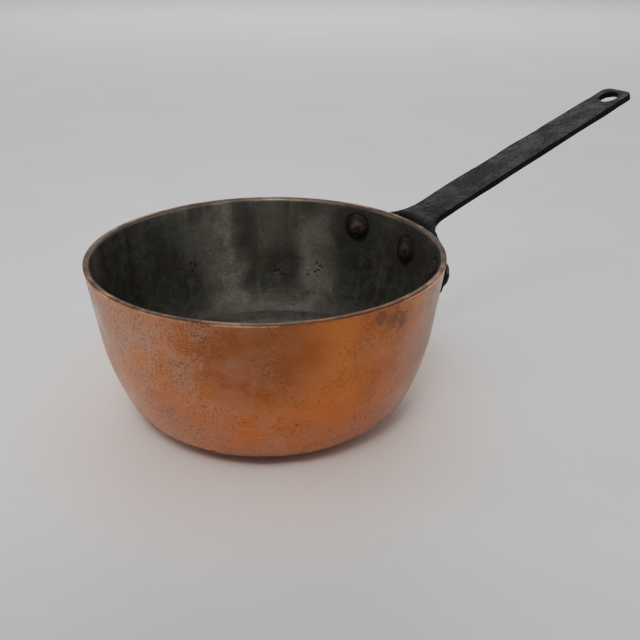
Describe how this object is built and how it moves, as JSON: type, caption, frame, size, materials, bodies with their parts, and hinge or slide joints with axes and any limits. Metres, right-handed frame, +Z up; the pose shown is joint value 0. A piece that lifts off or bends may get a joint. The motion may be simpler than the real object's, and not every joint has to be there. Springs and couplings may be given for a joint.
{
  "type": "copper saucepan",
  "caption": "Round copper saucepan with a tinned inside and a long sloping iron handle riveted to its wall, for cooking on a hob.",
  "frame": {"origin": "centre of the flat disc on the base's underside, on the pan's axis", "axes": "+Z up the pan's axis, +X from the pan's axis along the handle, +Y to the left of the handle seen from the pan"},
  "size_m": [0.3441, 0.19, 0.1525],
  "materials": {
    "copper_sheet": "aged satin copper",
    "aged_tin": "dull darkened tin",
    "forged_iron": "dark matte forged iron",
    "rivet_copper": "darkened hammered copper"
  },
  "bodies": {
    "root": {"pan_body": "copper_sheet", "tin_lining": "aged_tin", "handle": "forged_iron", "rivet_left": "rivet_copper", "rivet_centre": "rivet_copper", "rivet_right": "rivet_copper"}
  },
  "joints": []
}
